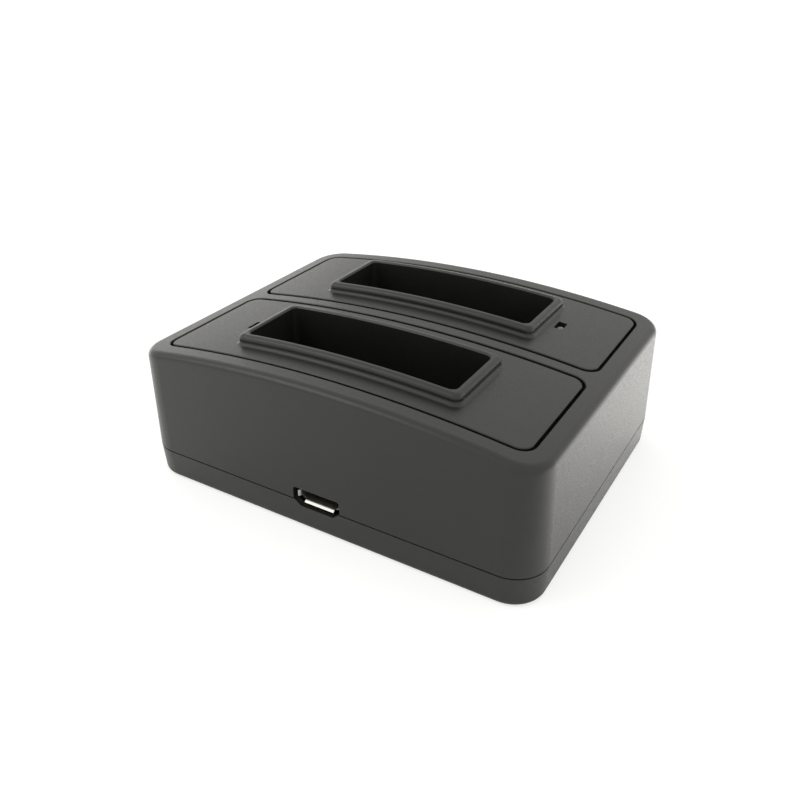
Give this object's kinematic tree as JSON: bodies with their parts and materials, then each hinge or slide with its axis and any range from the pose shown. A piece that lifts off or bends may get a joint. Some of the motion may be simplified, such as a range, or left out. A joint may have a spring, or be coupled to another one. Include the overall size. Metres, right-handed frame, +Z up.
{
  "type": "camera battery charger",
  "caption": "Low black desktop charger: arched moulded case, collared battery slots with leaf contacts, indicator windows and a small USB power inlet in its front side.",
  "frame": {"origin": "middle of the underside, on the surface it stands on", "axes": "+X along the long side, +Y to the back (the inlet is at -Y), +Z up"},
  "size_m": [0.0706, 0.0546, 0.0269],
  "materials": {
    "case_plastic": "satin moulded, fine grain",
    "board_laminate": "solder mask over glass laminate",
    "socket_steel": "tinned sheet, bent",
    "insulator_plastic": "moulded",
    "contact_plating": "thin gold plating",
    "lamp_resin": "cast, smoky clear",
    "tinned_lead": "tinned wire",
    "chip_resin": "moulded",
    "capacitor_ceramic": "fired",
    "screw_steel": "zinc plated"
  },
  "bodies": {
    "root": {"upper_case": "case_plastic", "lower_case": "case_plastic", "front_slot_plate": "case_plastic", "rear_slot_plate": "case_plastic", "circuit_board": "board_laminate", "usb_shell": "socket_steel", "usb_tongue": "insulator_plastic", "front_contact_block": "insulator_plastic", "rear_contact_block": "insulator_plastic", "usb_contacts": "contact_plating", "front_positive_contact": "contact_plating", "front_sense_contact": "contact_plating", "front_negative_contact": "contact_plating", "rear_positive_contact": "contact_plating", "rear_sense_contact": "contact_plating", "rear_negative_contact": "contact_plating", "front_lamp": "lamp_resin", "rear_lamp": "lamp_resin", "front_lamp_leads": "tinned_lead", "rear_lamp_leads": "tinned_lead", "controller_leads": "tinned_lead", "front_charge_controller": "chip_resin", "rear_charge_controller": "chip_resin", "chip_resistors": "chip_resin", "chip_capacitors": "capacitor_ceramic", "case_screws": "screw_steel", "board_screws": "screw_steel"}
  },
  "joints": []
}
